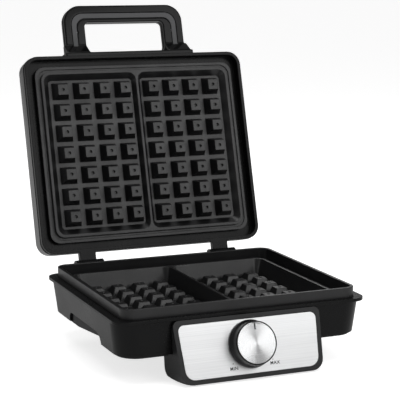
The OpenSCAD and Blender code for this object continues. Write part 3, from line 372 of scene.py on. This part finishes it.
# %% Spun aluminium
knob_centre = Vector(joints["knob_turn"]["pos_m"])
knob_axis = Vector(joints["knob_turn"]["axis"]).normalized()
spun = bpy.data.materials.new("knob_face")
spun.use_nodes = True
tree = spun.node_tree
shader = tree.nodes["Principled BSDF"]
coords = tree.nodes.new("ShaderNodeTexCoord")
arm = tree.nodes.new("ShaderNodeVectorMath")
arm.operation = "SUBTRACT"
arm.inputs[1].default_value = knob_centre
tree.links.new(coords.outputs["Object"], arm.inputs[0])
around = tree.nodes.new("ShaderNodeVectorMath")
around.operation = "CROSS_PRODUCT"
around.inputs[0].default_value = knob_axis
tree.links.new(arm.outputs[0], around.inputs[1])
length = tree.nodes.new("ShaderNodeVectorMath")
length.operation = "LENGTH"
tree.links.new(around.outputs[0], length.inputs[0])
unit = tree.nodes.new("ShaderNodeVectorMath")
unit.operation = "NORMALIZE"
tree.links.new(around.outputs[0], unit.inputs[0])
tree.links.new(unit.outputs[0], shader.inputs["Tangent"])
rings = tree.nodes.new("ShaderNodeTexNoise")
rings.noise_dimensions = "1D"
rings.inputs["Scale"].default_value = 5200.0
rings.inputs["Detail"].default_value = 2.0
tree.links.new(length.outputs["Value"], rings.inputs["W"])
tree.links.new(spread(tree, rings.outputs["Fac"], 0.24, 0.36), shader.inputs["Roughness"])
tree.links.new(mix_colour(tree, math_node(tree, "MULTIPLY", rings.outputs["Fac"], 0.25),
                          (0.88, 0.885, 0.89, 1), (0.5, 0.5, 0.51, 1)), shader.inputs["Base Color"])
groove = tree.nodes.new("ShaderNodeBump")
groove.inputs["Strength"].default_value = 0.06
groove.inputs["Distance"].default_value = 0.00005
tree.links.new(rings.outputs["Fac"], groove.inputs["Height"])
tree.links.new(groove.outputs["Normal"], shader.inputs["Normal"])
shader.inputs["Metallic"].default_value = 1.0
shader.inputs["Anisotropic"].default_value = 0.9
finishes["knob_face"] = spun
print("knob turns about", [round(part, 4) for part in knob_axis])

# %% [markdown]
# ## Finishing the engineering parts
# Every part from the engineering model takes the finish of its material slot. Parts that stay hidden in
# the housing keep their exact shape, and need nothing more.

# %% Give each CAD node its finish
slot_of_node = {s["node"]: s["material_slot"] for s in frame["record"]["subparts"]}
for name, node in frame["nodes"].items():
    node.data.materials.clear()
    node.data.materials.append(finishes[slot_of_node[name]])
print(len(frame["nodes"]), "nodes painted")

# %% [markdown]
# ## Rounding the mouldings and castings
# No moulding or casting has a truly sharp edge: the tool's radius catches the light as a thin bright
# line, and that line is most of what the eye sees on a black appliance. Each visible part is therefore
# copied, its triangles are joined into clean faces, and a bevel rounds its edges. The copy is shown in
# the part's place.
#
# A bevel that is wider than the faces beside it folds over itself. A folded face points against its own
# average, so the helper adds up such area. Where it finds more than a trace, it starts again from the
# plain copy with the clamp on, which holds every edge back to what fits.

# %% Helpers that copy a part and put the copy in its place
WELD_DISTANCE = 0.004 * MM


def copy_of(node, ending):
    deselect_all()
    piece = bpy.data.objects.new(node + ending, frame["nodes"][node].data.copy())
    bpy.context.collection.objects.link(piece)
    bpy.context.view_layer.objects.active = piece
    piece.select_set(True)
    if piece.data.has_custom_normals:
        bpy.ops.mesh.customdata_custom_splitnormals_clear()
    bpy.ops.object.mode_set(mode="EDIT")
    bpy.ops.mesh.select_all(action="SELECT")
    bpy.ops.mesh.remove_doubles(threshold=WELD_DISTANCE)
    return piece


def put_in_place(piece, node, paint=None):
    piece.data.materials.clear()
    piece.data.materials.append(finishes[paint or slot_of_node[node]])
    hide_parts(node)
    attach(piece, body_of_node[node])
    print(piece.name, len(piece.data.polygons), "faces")


# %% The rounding helper
FLAT, CORNER, SMOOTH = radians(0.5), radians(28), radians(40)
FOLD_LIMIT = 12 * MM * MM


def folded_area(mesh):
    mesh.calc_loop_triangles()
    return sum(triangle.area for triangle in mesh.loop_triangles
               if triangle.normal.dot(mesh.polygons[triangle.polygon_index].normal) < 0.3)


def rounded(node, width, paint=None):
    piece = copy_of(node, "_rounded")
    bpy.ops.mesh.dissolve_limited(angle_limit=FLAT, delimit=set())
    bpy.ops.object.mode_set(mode="OBJECT")
    plain = piece.data.copy()
    for clamp in (False, True):
        piece.data = plain.copy()
        bevel = piece.modifiers.new("edge_radius", "BEVEL")
        bevel.width = width
        bevel.segments = 3
        bevel.limit_method = "ANGLE"
        bevel.angle_limit = CORNER
        bevel.use_clamp_overlap = clamp
        bpy.ops.object.modifier_apply(modifier=bevel.name)
        if folded_area(piece.data) < FOLD_LIMIT:
            break
    print("edges held back:", clamp)
    bpy.ops.object.shade_smooth_by_angle(angle=SMOOTH)
    weighted = piece.modifiers.new("flat_faces_stay_flat", "WEIGHTED_NORMAL")
    weighted.keep_sharp = True
    weighted.weight = 80
    bpy.ops.object.modifier_apply(modifier=weighted.name)
    put_in_place(piece, node, paint)


# %% [markdown]
# The handle is softer than the rest, so that it is kind to the hand. A bevel folds over in its narrow
# groove, so its two shells are remeshed with small even faces instead, and then smoothed. That wears every
# edge down and leaves the flat faces flat.

# %% The softening helper
def softened(node, voxel, rounds):
    piece = copy_of(node, "_softened")
    bpy.ops.object.mode_set(mode="OBJECT")
    remesh = piece.modifiers.new("even_faces", "REMESH")
    remesh.mode = "VOXEL"
    remesh.voxel_size = voxel
    remesh.use_smooth_shade = True
    bpy.ops.object.modifier_apply(modifier=remesh.name)
    smooth = piece.modifiers.new("soft_edges", "SMOOTH")
    smooth.factor = 0.5
    smooth.iterations = rounds
    bpy.ops.object.modifier_apply(modifier=smooth.name)
    put_in_place(piece, node)


# %% Soften the handle
HANDLE_FACE = 0.6 * MM
softened("handle_top_shell", HANDLE_FACE, 14)
softened("handle_under_shell", HANDLE_FACE, 8)

# %% [markdown]
# Each other visible part gets the radius, in millimetres, that such a part would have: about one for a
# large moulding, less for a casting, and a hair for sheet metal. The control box is moulded from the same
# plastic as the housing; its front stands in full light, and that light is painted into its paler colour.

# %% Round the visible parts
EDGE_RADIUS = {
    "upper_plate": 0.6, "lower_plate": 0.6, "lid_frame": 0.8, "lid_cover": 0.8, "base_housing": 0.8,
    "handle_strip": 0.3, "fascia_panel": 0.15, "knob_body": 0.4, "knob_cap": 0.25,
    "power_lamp_lens": 1.0, "ready_lamp_lens": 1.0, "rubber_feet": 0.8, "cord_gland": 0.5,
    "bottom_cover": 0.6, "hinge_pins": 0.5, "control_box": 0.9}
# The control box takes the paler colour, which is painted light on its front.
OWN_PAINT = {"control_box": "box_satin_painted_light"}
for node, radius in EDGE_RADIUS.items():
    rounded(node, radius * MM, OWN_PAINT.get(node))

# %% [markdown]
# ## Printed marks on the panel
# The panel carries a tick at each end of the knob's travel, with a word beside it. They are screen
# printed, so they are thin pieces that lie on the steel.

# %% Panel frame and ink
panel_up = knob_axis.cross(Vector((1, 0, 0))).normalized()
panel_place = Matrix.Translation(knob_centre) @ Matrix(
    (Vector((1, 0, 0)), panel_up, knob_axis)).transposed().to_4x4()
ink = moulded("printed_ink", (0.01, 0.01, 0.01), 0.45, 0.6)


def print_on_panel(piece, name):
    piece.name = name
    piece.data.materials.clear()
    piece.data.materials.append(ink)
    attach(piece, "base")
    print(name, len(piece.data.polygons), "faces")


# %% Ticks
MARK_ANGLE, MARK_RADIUS = radians(129), 25.5 * MM
TICK_LENGTH, TICK_WIDTH = 4.2 * MM, 0.95 * MM
INK, STEEL_FACE = 0.06 * MM, 0.05 * MM
for name, side in (("min_tick", -1), ("max_tick", 1)):
    deselect_all()
    bpy.ops.mesh.primitive_circle_add(vertices=16, radius=TICK_WIDTH / 2, fill_type="NGON")
    tick = bpy.context.object
    for vertex in tick.data.vertices:
        vertex.select = vertex.co.y > 0.01 * TICK_WIDTH
    bpy.ops.object.mode_set(mode="EDIT")
    bpy.ops.transform.translate(value=(0, TICK_LENGTH - TICK_WIDTH, 0))
    bpy.ops.mesh.select_all(action="SELECT")
    bpy.ops.mesh.extrude_region_move(TRANSFORM_OT_translate={"value": (0, 0, INK)})
    bpy.ops.mesh.select_all(action="SELECT")
    bpy.ops.mesh.normals_make_consistent(inside=False)
    bpy.ops.object.mode_set(mode="OBJECT")
    spot = Vector((side * sin(MARK_ANGLE), cos(MARK_ANGLE), 0)) * (MARK_RADIUS - TICK_LENGTH / 2)
    spot.z = STEEL_FACE
    tick.data.transform(panel_place @ Matrix.Translation(spot) @ Matrix.Rotation(-side * MARK_ANGLE, 4, "Z"))
    print_on_panel(tick, name)

# %% [markdown]
# The words are text objects. Text has to become a mesh before its place is applied, so each is converted
# first and then moved on to the steel.

# %% Words
for word, x, y in (("MIN", -20.2 * MM, -21.6 * MM), ("MAX", 22.6 * MM, -20.3 * MM)):
    deselect_all()
    bpy.ops.object.text_add()
    label = bpy.context.object
    label.data.body = word
    label.data.align_x = label.data.align_y = "CENTER"
    label.data.size = 4.4 * MM
    label.data.offset = 0.09 * MM
    label.data.space_character = 1.12
    label.data.extrude = INK / 2
    label.data.resolution_u = 3
    bpy.ops.object.convert(target="MESH")
    label = bpy.context.object
    label.data.transform(panel_place @ Matrix.Translation((x, y, STEEL_FACE + INK / 2)))
    print_on_panel(label, word.lower() + "_word")
